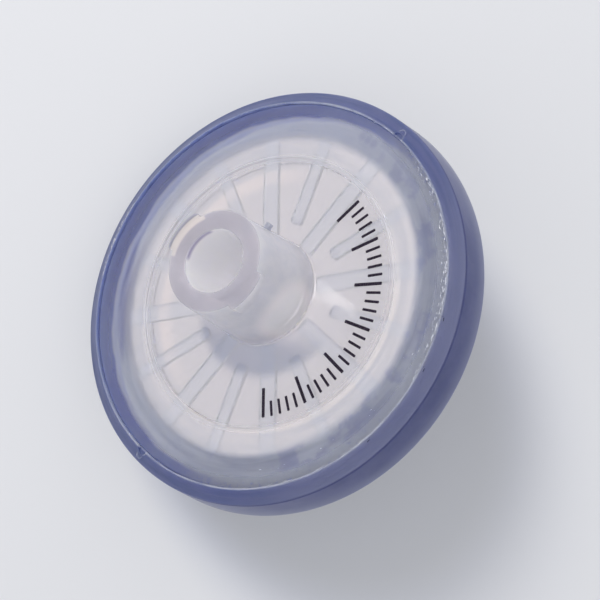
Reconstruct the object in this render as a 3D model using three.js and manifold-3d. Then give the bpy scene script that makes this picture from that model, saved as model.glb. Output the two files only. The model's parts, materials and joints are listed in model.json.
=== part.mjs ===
// Syringe filter, 25 mm class, in five pieces: inlet cap, prefilter, membrane, outlet base and the
// ring moulded over the rims of both housing halves. Millimetres, +Z up.
//
// Every piece is made about its own flow axis first: height 0 is the land of the outlet base, where
// the membrane lies, the inlet hub points up and the spout points down. The finished filter is then
// leaned over until it rests on the edge of its ring and the rim of its spout, as it does on a bench.
import * as THREE from "three";
import { mergeVertices } from "three/addons/utils/BufferGeometryUtils.js";
import Module from "manifold-3d";

// Sizes
const SEAT_GAP = 0.25; // clearance between any two pieces

const MEDIA_RADIUS = 12.8; // prefilter and membrane are stamped to one size
const MEMBRANE_THICKNESS = 0.2;
const PREFILTER_THICKNESS = 0.35;
const CLAMP_WIDTH = 1.4; // band at the edge of the media that both halves hold
const SKIRT_WALL = 0.65; // wall of the cap that stands round the media, down to the base
const RIM_STEP = 0.75; // how far the rims lie below the plates, so that the ring can hook over them

const CAP_PLATE = 0.85; // wall of the cap over the deep part of the chamber
const SHALLOW_WIDTH = 2; // band of the chamber next to the clamp, where the cap is thicker
const SHALLOW_HEIGHT = 0.17; // of the chamber there
const RECESS_DEPTH = 0.1; // the cap's face is sunk a little over the deep part
const RECESS_MARGIN = 0.24; // by how much the recess is wider than the deep part
const RIB_HEIGHT = 0.35; // of the ribs and of the deep part
const RIB_COUNT = 16; // long and short ones in turn
const RIB_PHASE = 35.7; // degrees, direction of the first long rib
const LONG_RIB_WIDTH = 1.15;
const LONG_RIB_START = 3.6; // distance of its inner end from the axis
const SHORT_RIB_WIDTH = 0.85;
const SHORT_RIB_START = 5.1;
const RIB_CORNER = 0.25; // rounding of the two corners of its inner end
const INLET_PORT_RADIUS = 1.3;

const HUB_HEIGHT = 6.6; // above the cap's face
const HUB_MOUTH_RADIUS = 3.43;
const HUB_ROOT_RADIUS = 3.79;
const HUB_FILLET = 0.15;
const LUER_TAPER = 0.03; // 6 % on the diameter
const SOCKET_MOUTH_RADIUS = 2.15;
const SOCKET_FLOOR = 0.55; // wall between the socket and the chamber
const LUG_HEIGHT = 0.47; // out from the hub
const LUG_SPAN = 50; // degrees
const LUG_PHASE = 350; // degrees, direction of the first lug's middle
const LUG_THICKNESS = 0.85; // at its middle
const LUG_LEAD = 5; // mm a turn, the pitch of the locking collar's thread
const PIP_PHASE = 85; // degrees, a moulding pip on the parting line of the hub
const PIP_HEIGHT = 3.9; // above the cap's face
const PIP_SIZE = 0.4;

const BASE_PLATE = 0.6; // wall of the base under the drain channels
const SUPPORT_HEIGHT = 0.3; // of the ridges that carry the membrane
const RIDGE_PITCH = 2.2;
const RIDGE_WIDTH = 0.8;
const DRAIN_COUNT = 8; // radial channels across the ridges
const DRAIN_WIDTH = 0.9;
const OUTLET_BORE_RADIUS = 1.05;
const SPOUT_LENGTH = 8.35; // below the base's face
const SPOUT_TIP_RADIUS = 1.97;
const SPOUT_BOSS_RADIUS = 3.3;
const SPOUT_BOSS_HEIGHT = 1.1;

const RING_WALL = 0.8; // outside the rims, at the lower edge
const RING_DRAFT = 0.15; // by how much the upper edge is smaller
const RING_HOOK = 0.43; // how far the ring reaches in over the rims
const RING_PROUD = 0.3; // how far its faces stand above the plates
const RING_SHOULDER = 0.72; // drop from the face's inner edge to the wall
const RING_EDGE = 0.12; // rounding of its corners
const GATE_ANGLES = [77.8, 262.9]; // degrees, the two scars where the ring's plastic was let in
const GATE_RADIUS = 0.45;
const GATE_DEPTH = 0.35;

const ROUND = 72; // facets of a full turn
const BLEND_STEPS = 3; // facets of a rounded corner

// Radii, from the media outwards and inwards
const skirtInnerRadius = MEDIA_RADIUS + SEAT_GAP;
const rimRadius = skirtInnerRadius + SKIRT_WALL;
const pocketRadius = rimRadius + SEAT_GAP;
const ringRadius = pocketRadius + RING_WALL;
const ringBoreRadius = pocketRadius - RING_HOOK;
const plateRadius = ringBoreRadius - SEAT_GAP;
const chamberRadius = MEDIA_RADIUS - CLAMP_WIDTH;
const deepRadius = chamberRadius - SHALLOW_WIDTH;
const recessRadius = deepRadius + RECESS_MARGIN;
const lugRadius = HUB_MOUTH_RADIUS + LUG_HEIGHT;

// Heights, stacked up from the land of the base
const LAND = 0;
const membraneLow = LAND + SEAT_GAP;
const prefilterLow = membraneLow + MEMBRANE_THICKNESS + SEAT_GAP;
const clampLevel = prefilterLow + PREFILTER_THICKNESS + SEAT_GAP; // clamp face and lower edge of the ribs
const deepCeiling = clampLevel + RIB_HEIGHT;
const shallowCeiling = clampLevel + SHALLOW_HEIGHT;
const capFace = deepCeiling + CAP_PLATE; // in the recess, round the hub
const capTop = capFace + RECESS_DEPTH;
const hubMouth = capFace + HUB_HEIGHT;
const socketFloor = deepCeiling + SOCKET_FLOOR;
const channelFloor = LAND - SUPPORT_HEIGHT;
const baseFace = channelFloor - BASE_PLATE;
const spoutTip = baseFace - SPOUT_LENGTH;
const bossFace = baseFace - SPOUT_BOSS_HEIGHT;
const capRimTop = capTop - RIM_STEP;
const baseRimBottom = baseFace + RIM_STEP;
const ringTop = capTop + RING_PROUD;
const ringBottom = baseFace - RING_PROUD;
const ringWallLow = ringBottom + RING_SHOULDER;

const wasm = await Module();
wasm.setup();

// A closed three.js geometry as a solid that can be joined and cut.
function solidOf(geometry) {
  const bare = geometry.clone();
  bare.deleteAttribute("normal");
  bare.deleteAttribute("uv");
  const merged = mergeVertices(bare, 1e-5);
  return new wasm.Manifold(
    new wasm.Mesh({
      numProp: 3,
      vertProperties: new Float32Array(merged.attributes.position.array),
      triVerts: new Uint32Array(merged.index.array),
    }),
  );
}

// A solid as a three.js geometry with flat facets.
function geometryOf(solid) {
  const { numProp, vertProperties, triVerts } = solid.getMesh();
  const positions = new Float32Array((vertProperties.length / numProp) * 3);
  for (let i = 0; i < positions.length / 3; i++)
    positions.set(vertProperties.subarray(i * numProp, i * numProp + 3), i * 3);
  const geometry = new THREE.BufferGeometry()
    .setAttribute("position", new THREE.BufferAttribute(positions, 3))
    .setIndex(new THREE.BufferAttribute(new Uint32Array(triVerts), 1));
  geometry.computeVertexNormals();
  return geometry;
}

// A half section of corners [radius, height, blend], each blend a rounded corner of that size.
function section(corners) {
  return corners.flatMap(([radius, height, blend = 0], i) => {
    const corner = new THREE.Vector2(radius, height);
    if (blend === 0) return [corner];
    const toNeighbour = (step) => {
      const [r, z] = corners[(i + step + corners.length) % corners.length];
      const way = new THREE.Vector2(r, z).sub(corner);
      return corner.clone().addScaledVector(way.clone().normalize(), Math.min(blend, way.length() / 2.2));
    };
    return new THREE.QuadraticBezierCurve(toNeighbour(-1), corner, toNeighbour(1)).getPoints(BLEND_STEPS);
  });
}

// The solid swept by a half section round the flow axis. Its corners run so that the solid is on
// their left, and it starts half a facet round, so that a flat and not a corner points along X.
function turned(corners, facets = ROUND) {
  const outline = section(corners);
  outline.push(outline[0].clone());
  return solidOf(new THREE.LatheGeometry(outline, facets, Math.PI / facets).rotateX(Math.PI / 2));
}

// An outline drawn in the XY plane, made a solid from one height to another.
function raised(shape, low, high) {
  const geometry = new THREE.ExtrudeGeometry(shape, {
    depth: high - low,
    bevelEnabled: false,
    curveSegments: 4,
  });
  return solidOf(geometry.translate(0, 0, low));
}

function aroundAxis(solid, degrees) {
  return solid.rotate([0, 0, degrees]);
}

// A flat disc of filter medium.
function disc(low, thickness) {
  const size = [MEDIA_RADIUS, MEDIA_RADIUS, thickness];
  const cylinder = new THREE.CylinderGeometry(...size, ROUND, 1, false, Math.PI / ROUND);
  return solidOf(cylinder.rotateX(Math.PI / 2).translate(0, 0, low + thickness / 2));
}

// One rib of the cap, straight, its inner end with rounded corners, rooted in the plate and ending in
// the wall of the clamp face.
function rib(width, start) {
  const half = width / 2;
  const end = chamberRadius + half;
  const shape = new THREE.Shape();
  shape.moveTo(end, half);
  shape.absarc(start + RIB_CORNER, half - RIB_CORNER, RIB_CORNER, Math.PI / 2, Math.PI, false);
  shape.absarc(start + RIB_CORNER, RIB_CORNER - half, RIB_CORNER, Math.PI, (3 * Math.PI) / 2, false);
  shape.lineTo(end, -half);
  return raised(shape, clampLevel, deepCeiling + CAP_PLATE / 2);
}

// The sixteen ribs, joined.
function ribs() {
  const long = rib(LONG_RIB_WIDTH, LONG_RIB_START);
  const short = rib(SHORT_RIB_WIDTH, SHORT_RIB_START);
  const pitch = 360 / RIB_COUNT;
  return wasm.Manifold.union(
    Array.from({ length: RIB_COUNT }, (_, i) => aroundAxis(i % 2 ? short : long, RIB_PHASE + i * pitch)),
  );
}

// One lug of the Luer lock: a short stretch of thread flush with the mouth, whose underside climbs
// with the lead of the thread.
function lug() {
  const half = THREE.MathUtils.degToRad(LUG_SPAN / 2);
  const corner = half * 0.8; // where the end of the lug begins to round off
  const rooted = (HUB_MOUTH_RADIUS + SOCKET_MOUTH_RADIUS) / 2;
  const at = (radius, angle) => [radius * Math.cos(angle), radius * Math.sin(angle)];
  const shape = new THREE.Shape();
  shape.moveTo(...at(rooted, -half));
  shape.lineTo(...at(HUB_MOUTH_RADIUS, -half));
  shape.quadraticCurveTo(...at(lugRadius, -half), ...at(lugRadius, -corner));
  shape.absarc(0, 0, lugRadius, -corner, corner, false);
  shape.quadraticCurveTo(...at(lugRadius, half), ...at(HUB_MOUTH_RADIUS, half));
  shape.lineTo(...at(rooted, half));
  const underside = hubMouth - LUG_THICKNESS;
  return raised(shape, underside, hubMouth).warp((point) => {
    const climb = (LUG_LEAD * Math.atan2(point[1], point[0])) / (2 * Math.PI);
    if (point[2] < hubMouth - LUG_THICKNESS / 2) point[2] += climb;
  });
}

function lugs() {
  return aroundAxis(lug(), LUG_PHASE).add(aroundAxis(lug(), LUG_PHASE + 180));
}

// The small square pip that the mould leaves on the hub.
function pip() {
  const hubRadius = THREE.MathUtils.lerp(HUB_ROOT_RADIUS, HUB_MOUTH_RADIUS, PIP_HEIGHT / HUB_HEIGHT);
  const box = new THREE.BoxGeometry(PIP_SIZE * 2, PIP_SIZE, PIP_SIZE);
  return aroundAxis(solidOf(box.translate(hubRadius, 0, capFace + PIP_HEIGHT)), PIP_PHASE);
}

function inletCap() {
  const socketEndRadius = SOCKET_MOUTH_RADIUS - LUER_TAPER * (hubMouth - socketFloor);
  const shell = turned([
    [INLET_PORT_RADIUS, deepCeiling],
    [deepRadius, deepCeiling],
    [deepRadius, shallowCeiling],
    [chamberRadius, shallowCeiling],
    [chamberRadius, clampLevel],
    [skirtInnerRadius, clampLevel],
    [skirtInnerRadius, LAND + SEAT_GAP],
    [rimRadius, LAND + SEAT_GAP],
    [rimRadius, capRimTop],
    [plateRadius, capRimTop],
    [plateRadius, capTop],
    [recessRadius, capTop],
    [recessRadius - RECESS_DEPTH, capFace],
    [HUB_ROOT_RADIUS, capFace, HUB_FILLET],
    [HUB_MOUTH_RADIUS, hubMouth, 0.12],
    [SOCKET_MOUTH_RADIUS, hubMouth, 0.08],
    [socketEndRadius, socketFloor],
    [INLET_PORT_RADIUS, socketFloor],
  ]);
  return wasm.Manifold.union([shell, ribs(), lugs(), pip()]);
}

// The ridges that carry the membrane: rings about the port, cut across by the drain channels.
function supportRidges() {
  const rings = [];
  for (let r = OUTLET_BORE_RADIUS + RIDGE_PITCH; r + RIDGE_WIDTH < chamberRadius; r += RIDGE_PITCH)
    rings.push(
      turned([
        [r, channelFloor - BASE_PLATE / 2],
        [r + RIDGE_WIDTH, channelFloor - BASE_PLATE / 2],
        [r + RIDGE_WIDTH, LAND],
        [r, LAND],
      ]),
    );
  const channel = new THREE.BoxGeometry(chamberRadius, DRAIN_WIDTH, SUPPORT_HEIGHT * 2);
  channel.translate(chamberRadius / 2, 0, channelFloor + SUPPORT_HEIGHT);
  const drain = solidOf(channel);
  const drains = Array.from({ length: DRAIN_COUNT }, (_, i) => aroundAxis(drain, (i * 360) / DRAIN_COUNT));
  return wasm.Manifold.union(rings).subtract(wasm.Manifold.union(drains));
}

function outletBase() {
  const spoutRootRadius = SPOUT_TIP_RADIUS + LUER_TAPER * (SPOUT_LENGTH - SPOUT_BOSS_HEIGHT);
  const shell = turned([
    [OUTLET_BORE_RADIUS, spoutTip],
    [SPOUT_TIP_RADIUS, spoutTip, 0.1],
    [spoutRootRadius, bossFace, 0.3],
    [SPOUT_BOSS_RADIUS, bossFace, 0.25],
    [SPOUT_BOSS_RADIUS, baseFace, 0.4],
    [plateRadius, baseFace],
    [plateRadius, baseRimBottom],
    [rimRadius, baseRimBottom],
    [rimRadius, LAND],
    [chamberRadius, LAND],
    [chamberRadius, channelFloor],
    [OUTLET_BORE_RADIUS, channelFloor],
  ]);
  return shell.add(supportRidges());
}

// One round scar in the ring's upper inner edge.
function gate(degrees) {
  const scar = new THREE.CylinderGeometry(GATE_RADIUS, GATE_RADIUS, GATE_DEPTH * 2, 16).rotateX(Math.PI / 2);
  return aroundAxis(solidOf(scar.translate(ringBoreRadius, 0, ringTop)), degrees);
}

function outerRing() {
  const pocketTop = capRimTop + SEAT_GAP;
  const pocketBottom = baseRimBottom - SEAT_GAP;
  const band = turned([
    [ringBoreRadius, ringBottom, RING_EDGE],
    [ringRadius, ringWallLow, RING_EDGE],
    [ringRadius - RING_DRAFT, ringTop - RING_SHOULDER, RING_EDGE],
    [ringBoreRadius, ringTop, RING_EDGE],
    [ringBoreRadius, pocketTop],
    [pocketRadius, pocketTop],
    [pocketRadius, pocketBottom],
    [ringBoreRadius, pocketBottom],
  ]);
  return band.subtract(wasm.Manifold.union(GATE_ANGLES.map(gate)));
}

function piece(name, solid, color, roughness) {
  const mesh = new THREE.Mesh(geometryOf(solid), new THREE.MeshStandardMaterial({ color, roughness }));
  mesh.name = name;
  return mesh;
}

const filter = new THREE.Group();
filter.add(
  piece("inlet_cap", inletCap(), 0xc9ccd6, 0.35),
  piece("glass_fibre_prefilter", disc(prefilterLow, PREFILTER_THICKNESS), 0xe9e7ec, 0.95),
  piece("filter_membrane", disc(membraneLow, MEMBRANE_THICKNESS), 0xf2f2f4, 0.7),
  piece("outlet_base", outletBase(), 0xc9ccd6, 0.35),
  piece("outer_ring", outerRing(), 0xaeb4cb, 0.45),
);

// Leaned over towards -X by the angle between the flow axis's square and the line from the rim of
// the spout to the lower edge of the ring, then set down on Z = 0 with the middle of its box at X = Y = 0.
const restAngle = Math.atan2(ringWallLow - spoutTip, ringRadius - SPOUT_TIP_RADIUS);
filter.rotation.y = -restAngle;
const part = new THREE.Group();
part.add(filter);
const box = new THREE.Box3().setFromObject(part, true);
const middle = box.getCenter(new THREE.Vector3());
filter.position.set(-middle.x, -middle.y, -box.min.z);

export default part;
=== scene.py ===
"""The looks of a syringe filter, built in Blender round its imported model.

Every piece is made about the filter's own flow axis, in millimetres: height 0 is the land that the
membrane lies on, heights grow towards the inlet hub, and angles are in degrees round the axis.
TO_ROW then leans the finished mesh over, as the filter lies on its ring and its spout.
"""

import json
import math

import bmesh
import bpy
from mathutils import Matrix, Vector, noise


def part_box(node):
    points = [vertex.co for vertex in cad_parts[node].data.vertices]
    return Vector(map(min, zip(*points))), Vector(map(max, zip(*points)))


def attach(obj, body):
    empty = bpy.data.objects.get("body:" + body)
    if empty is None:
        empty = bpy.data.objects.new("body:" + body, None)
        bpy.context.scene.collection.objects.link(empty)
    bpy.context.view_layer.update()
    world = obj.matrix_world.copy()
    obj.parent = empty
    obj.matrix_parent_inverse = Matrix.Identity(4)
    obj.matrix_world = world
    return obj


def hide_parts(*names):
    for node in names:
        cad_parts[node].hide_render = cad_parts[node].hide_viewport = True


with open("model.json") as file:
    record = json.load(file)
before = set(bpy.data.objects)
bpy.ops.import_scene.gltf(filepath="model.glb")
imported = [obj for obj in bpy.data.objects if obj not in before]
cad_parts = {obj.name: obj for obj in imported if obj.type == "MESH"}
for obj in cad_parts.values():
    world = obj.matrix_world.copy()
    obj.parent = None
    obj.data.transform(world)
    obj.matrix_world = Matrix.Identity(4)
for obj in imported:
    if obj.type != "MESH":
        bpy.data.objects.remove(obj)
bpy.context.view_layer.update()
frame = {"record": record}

MM = 0.001

# Sizes in the flow frame, in millimetres and degrees
LAND = 0
TURN_STEPS = 256  # facets of a full turn
ROUNDING_STEPS = 5  # facets of a rounded corner
SHARP = math.radians(32)
SAME_PLACE = 1e-5
WELD_REACH = 2e-5
HAIR = 0.01  # a gap that shows no light, between pieces that are moulded together

# The media
MEDIA_RADIUS = 12.8
MEMBRANE = (0.25, 0.45)  # lower and upper face
PREFILTER = (0.7, 1.27)
MEDIA_ROUNDING = 0.06

# The cap's plate and the chamber under it
CHAMBER_RADIUS = 11.4
DEEP_RADIUS = 9.4
RECESS_RADIUS = 9.64
RECESS_SLOPE = 0.1
SKIRT_INNER_RADIUS = 13.05
RIM_RADIUS = 13.7
PLATE_RADIUS = 13.5
CLAMP_LEVEL = 1.3
SHALLOW_CEILING = 1.47
DEEP_CEILING = 1.65
CAP_FACE = 2.5
CAP_TOP = 2.6
CAP_RIM_TOP = 1.85
RIB_PAIRS = 8
RIB_PITCH = 360 / RIB_PAIRS
RIB_PHASE = 35.7
LONG_RIB_WIDTH = 1.15
LONG_RIB_START = 3.6
SHORT_RIB_WIDTH = 0.85
SHORT_RIB_START = 5.1
RIB_CORNER = 0.25  # rounding of the two corners of a rib's inner end
RIB_LEVELS = (CLAMP_LEVEL + HAIR, CAP_FACE - 0.4)  # rooted inside the plate

# The hub, its lock and its socket
HUB_MOUTH = 9.1
HUB_MOUTH_RADIUS = 3.43
HUB_ROOT_RADIUS = 3.79
HUB_FILLET = 0.15
SOCKET_MOUTH_RADIUS = 2.15
SOCKET_FLOOR = 2.2
LUER_TAPER = 0.03
INLET_PORT_RADIUS = 1.3
LUG_RADIUS = 3.9
LUG_HALF_SPAN = 25
LUG_ANGLES = (350, 170)
LUG_THICKNESS = 0.85
LUG_TOP = HUB_MOUTH - 0.002
LUG_LEAD = 5
LUG_STEPS = 24
LUG_SINK = 0.1  # how far a lug's ends lie inside the hub's side
LUG_RISE = LUG_RADIUS - HUB_MOUTH_RADIUS + 0.08  # from there out to its crest
LUG_ROUNDED = 0.25  # the share of its half span over which each end falls away
SEAM_ANGLES = (80, 262)
SEAM_LEVELS = (CAP_FACE + 0.2, HUB_MOUTH - 0.3)
SEAM_PROUD = 0.03
SEAM_HALF_WIDTH = 0.05
SEAM_DEPTH = 0.3
PIP_ANGLE = 85
PIP_LEVEL = 6.4
PIP_SIZE = 0.4
PIP_ROUNDING = 0.08

# The base and its spout
CHANNEL_FLOOR = -0.3
BASE_FACE = -0.9
BASE_RIM_BOTTOM = -0.15
BOSS_FACE = -2.0
SPOUT_TIP = -9.25
SPOUT_TIP_RADIUS = 1.97
SPOUT_BOSS_RADIUS = 3.3
OUTLET_BORE_RADIUS = 1.05
RIDGE_COUNT = 4
RIDGE_PITCH = 2.2
RIDGE_WIDTH = 0.8
RIDGE_FOOT = CHANNEL_FLOOR - 0.2  # rooted inside the base
DRAIN_COUNT = 8
DRAIN_WIDTH = 0.9
DRAIN_CORNER = 0.1
DRAIN_LEVELS = (CHANNEL_FLOOR - 0.1, LAND + 1)  # past the channels' floor and the ridges' tops

# The ring
RING_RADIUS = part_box("outer_ring")[1].y / MM
RING_DRAFT = 0.165
RING_BORE_RADIUS = 13.52
RING_TOP = 2.9
RING_INNER_EDGE = RING_TOP - 0.02
RING_BOTTOM = -1.2
RING_SHOULDER = 0.72
GROOVE_HALF_WIDTH = 0.09
GROOVE_DEPTH = 0.08
PARTING = RING_TOP - RING_SHOULDER - GROOVE_HALF_WIDTH  # the groove where the ring's mould parted
GATE_ANGLES = (77.8, 262.9)
GATE_RADIUS = 0.45
GATE_DEPTH = 0.35
GATE_TAPER = 0.05
GATE_STEPS = 32
CURL_OUT = 0.42  # from the ring's bore out to the middle of the curl
CURL_LEVEL = RING_TOP - 0.27
CURL_RADIUS = 0.27
CURL_THICKNESS = 0.055
CURL_SWEEP = 230
CURL_STEPS = 17
CURL_SIDES = 8
FLASH_WIDTH = 0.3
FLASH_WAVES = 9  # how many waves of the uneven edge lie along each radian
FLASH_COARSE = 0.06
FLASH_FINE = 0.03

# The printed marks
MARK_OUTER_RADIUS = 8.8
MARK_PHASE = -54
MARK_PITCH = 4.2
MARKS_A_GROUP = 5  # one long stroke and four short ones
MARK_GROUPS = 6
LONG_MARK = {"Width": 0.22, "Start": 6.8}
SHORT_MARK = {"Width": 0.18, "Start": 7.75}
MARK_CORNER = 0.05
INK_THICKNESS = 0.02


def flow_to_row():
    """The matrix from the flow frame, in millimetres, to the part's own frame, in metres."""
    mouth = next(m for m in frame["record"]["mounts"] if m["name"] == "inlet_mouth")
    axis = Vector(mouth["axis"]).normalized()
    centre = Vector((mouth["pos_m"][0], 0, mouth["pos_m"][2]))
    across = Vector((0, 1, 0))
    turn = Matrix((across.cross(axis), across, axis)).transposed().to_4x4()
    land = centre - axis * HUB_MOUTH * MM
    return Matrix.Translation(land) @ turn @ Matrix.Scale(MM, 4)


TO_ROW = flow_to_row()


# Meshes


def rounded(corners):
    """The outline through corners (radius, height, rounding), where the last may be left out. A
    rounding takes up less than half of the edge on either side."""
    outline = []
    for i, (radius, height, *rounding) in enumerate(corners):
        corner = Vector((radius, height))
        if not rounding:
            outline.append(corner)
            continue
        before = Vector(corners[i - 1][:2]) - corner
        after = Vector(corners[(i + 1) % len(corners)][:2]) - corner
        start = corner + before.normalized() * min(rounding[0], before.length / 2.1)
        end = corner + after.normalized() * min(rounding[0], after.length / 2.1)
        for step in range(ROUNDING_STEPS + 1):
            t = step / ROUNDING_STEPS
            outline.append(start * (1 - t) ** 2 + corner * 2 * t * (1 - t) + end * t**2)
    return outline


def polar(radius, degrees, height):
    """The point of the flow frame at this radius, angle and height."""
    angle = math.radians(degrees)
    return Vector((radius * math.cos(angle), radius * math.sin(angle), height))


def new_object(name, bm):
    """A mesh object of bm, with clean outward faces, still in the flow frame."""
    bmesh.ops.remove_doubles(bm, verts=bm.verts, dist=SAME_PLACE)
    bmesh.ops.recalc_face_normals(bm, faces=bm.faces)
    mesh = bpy.data.meshes.new(name)
    bm.to_mesh(mesh)
    bm.free()
    made = bpy.data.objects.new(name, mesh)
    bpy.context.scene.collection.objects.link(made)
    return made


def turned(name, corners, warp=None):
    """A closed outline swept round the flow axis. warp(radius, height, degrees) may shift each point."""
    outline = rounded(corners)
    bm = bmesh.new()
    rings = []
    for step in range(TURN_STEPS):
        degrees = 360 * step / TURN_STEPS
        places = [warp(p.x, p.y, degrees) if warp else (p.x, p.y) for p in outline]
        rings.append([bm.verts.new(polar(radius, degrees, height)) for radius, height in places])
    for ring, following in zip(rings, rings[1:] + rings[:1]):
        for i in range(len(ring)):
            bm.faces.new((ring[i - 1], ring[i], following[i], following[i - 1]))
    return new_object(name, bm)


def raised(name, outline, low, high):
    """An outline of points (x, y, ...) made a solid from one height to another."""
    bm = bmesh.new()
    floor = bm.faces.new([bm.verts.new((p[0], p[1], low)) for p in outline])
    walls = bmesh.ops.extrude_face_region(bm, geom=[floor])
    lifted = [v for v in walls["geom"] if isinstance(v, bmesh.types.BMVert)]
    bmesh.ops.translate(bm, verts=lifted, vec=(0, 0, high - low))
    return new_object(name, bm)


def spun(piece, degrees):
    """The piece turned round the flow axis."""
    piece.data.transform(Matrix.Rotation(math.radians(degrees), 4, "Z"))
    return piece


def apply_modifiers(piece):
    """Turns the piece with its modifiers into plain mesh."""
    evaluated = piece.evaluated_get(bpy.context.evaluated_depsgraph_get())
    mesh = bpy.data.meshes.new_from_object(evaluated)
    piece.modifiers.clear()
    piece.data = mesh


def combined(piece, others, operation):
    """The piece joined with the others, or cut by them, as one closed body."""
    for other in others:
        step = piece.modifiers.new(other.name, "BOOLEAN")
        step.operation = operation
        step.solver = "EXACT"
        step.object = other
    apply_modifiers(piece)
    for other in others:
        bpy.data.objects.remove(other)
    return piece


def weld(mesh):
    """Joins the corners that a cut left all but on each other."""
    bm = bmesh.new()
    bm.from_mesh(mesh)
    bmesh.ops.remove_doubles(bm, verts=bm.verts, dist=WELD_REACH)
    bm.to_mesh(mesh)
    bm.free()


def finish_piece(piece, material, node):
    """Leans the piece over into its place, shades it and attaches it to the root body."""
    mesh = piece.data
    mesh.materials.clear()
    mesh.materials.append(material)
    mesh.polygons.foreach_set("material_index", [0] * len(mesh.polygons))
    weld(mesh)
    mesh.transform(TO_ROW)
    mesh.shade_smooth()
    mesh.set_sharp_from_angle(angle=SHARP)
    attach(piece, "root")
    if node:
        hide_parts(node)


# Node trees


class Socket:
    """An output of a node tree. Arithmetic on it adds Math nodes."""

    def __init__(self, graph, socket):
        self.graph = graph
        self.socket = socket

    def math(self, operation, *values):
        return self.graph.node("ShaderNodeMath", {"operation": operation}, values)

    def __add__(self, other):
        return self.math("ADD", self, other)

    def __sub__(self, other):
        return self.math("SUBTRACT", self, other)

    def __mul__(self, other):
        return self.math("MULTIPLY", self, other)

    def maximum(self, other):
        return self.math("MAXIMUM", self, other)

    def ramp(self, low, high):
        """0 at low, 1 at high, smooth between them."""
        settings = {"interpolation_type": "SMOOTHSTEP"}
        inputs = {"Value": self, "From Min": low, "From Max": high}
        return self.graph.node("ShaderNodeMapRange", settings, inputs)


class Graph:
    """A node tree under construction."""

    def __init__(self, tree):
        self.tree = tree

    def node(self, kind, settings=None, inputs=None, output=0):
        """Adds a node: its settings first, then values or links of its sockets, by name or in order."""
        made = self.tree.nodes.new(kind)
        for name, value in (settings or {}).items():
            setattr(made, name, value)
        named = inputs.items() if isinstance(inputs, dict) else enumerate(inputs or ())
        for name, value in named:
            for one in value if isinstance(value, list) else [value]:
                if isinstance(one, Socket):
                    self.tree.links.new(one.socket, made.inputs[name])
                else:
                    made.inputs[name].default_value = one
        return Socket(self, made.outputs[output]) if len(made.outputs) else None


def material(name, build):
    """A material whose surface is what build(graph) returns."""
    made = bpy.data.materials.new(name)
    made.use_nodes = True
    made.node_tree.nodes.clear()
    graph = Graph(made.node_tree)
    graph.node("ShaderNodeOutputMaterial", inputs={"Surface": build(graph)})
    return made


def flow_position(graph):
    """The place of a surface point in the flow frame, in millimetres."""
    place, turn, scale = TO_ROW.inverted().decompose()
    inputs = {
        "Vector": graph.node("ShaderNodeTexCoord", output="Object"),
        "Location": place,
        "Rotation": turn.to_euler(),
        "Scale": scale,
    }
    return graph.node("ShaderNodeMapping", {"vector_type": "POINT"}, inputs)


# Materials

# Directions from the flow axis, in degrees
LOW_SIDE = 180  # where the ring lies on the floor
HIGH_SIDE = 0
BLOTCH_SIDE = 210
BRIGHT_SIDE = 140
HIGHLIGHT_SIDE = 330
SHADE_SIDE = 285
SOCKET_SHADE_ANGLE = 168

WHITE_EDGE = 11.25  # the cap's clamp presses the media flat outside this radius
MEDIA_SHOWN = (11.0, 11.6)  # over these radii the plate changes from clear to the band outside the white
BEYOND_MEDIA = (12.7, 12.93)  # over these the band ends, and the plate shows no media under it


def part_of(graph, place, axis):
    """One coordinate of a place in the flow frame."""
    return graph.node("ShaderNodeSeparateXYZ", inputs=(place,), output=axis)


def radius_at(graph, place):
    """How far a place in the flow frame is from the axis, in millimetres."""
    across = graph.node("ShaderNodeVectorMath", {"operation": "MULTIPLY"}, (place, (1, 1, 0)))
    return graph.node("ShaderNodeVectorMath", {"operation": "LENGTH"}, (across,), output="Value")


def toward(graph, place, degrees):
    """How far a place in the flow frame lies out from the axis in one direction, in millimetres."""
    way = polar(1, degrees, 0)
    return graph.node("ShaderNodeVectorMath", {"operation": "DOT_PRODUCT"}, (place, way), output="Value")


def near(graph, place, centre, reach, full=0.2):
    """1 round a point of the flow frame, smoothly 0 from reach millimetres away."""
    apart = graph.node("ShaderNodeVectorMath", {"operation": "DISTANCE"}, (place, centre), output="Value")
    return apart.ramp(reach, reach * full)


def speckle(graph, place, scale, detail=3.0):
    """Noise of about this many spots a millimetre."""
    return graph.node("ShaderNodeTexNoise", inputs={"Vector": place, "Scale": scale, "Detail": detail})


def streaks(graph, place, radius, count):
    """Noise drawn out round the flow axis, of about this many streaks a millimetre."""
    stretched = (radius * count, toward(graph, place, 0) * 0.15, toward(graph, place, 90) * 0.15)
    return speckle(graph, graph.node("ShaderNodeCombineXYZ", inputs=stretched), 1.0)


def blend(graph, share, first, second):
    """The first colour where share is 0, the second where it is 1."""
    return graph.node("ShaderNodeMix", {"data_type": "RGBA"}, {0: share, 6: first, 7: second}, output=2)


def milky_plastic(graph, colour, height, veil, **values):
    """Polypropylene: clear when thin, milky when thick. Light for what it covers passes straight
    through it, weaker by veil at each face. Height is its bump, in hundredths of a millimetre."""
    relief = graph.node("ShaderNodeBump", inputs={"Strength": 1.0, "Distance": 1e-5, "Height": height})
    inputs = {"Base Color": colour, "IOR": 1.49, "Normal": relief, "Subsurface Weight": 1.0}
    inputs |= {"Subsurface Radius": (1.0, 1.0, 1.1), **values}
    surface = graph.node("ShaderNodeBsdfPrincipled", inputs=inputs)
    clear = graph.node("ShaderNodeBsdfTransparent", inputs={"Color": veil})
    for rays in ("Is Diffuse Ray", "Is Shadow Ray"):
        path = graph.node("ShaderNodeLightPath", output=rays)
        surface = graph.node("ShaderNodeMixShader", inputs=(path, surface, clear))
    return surface


# The plates

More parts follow.
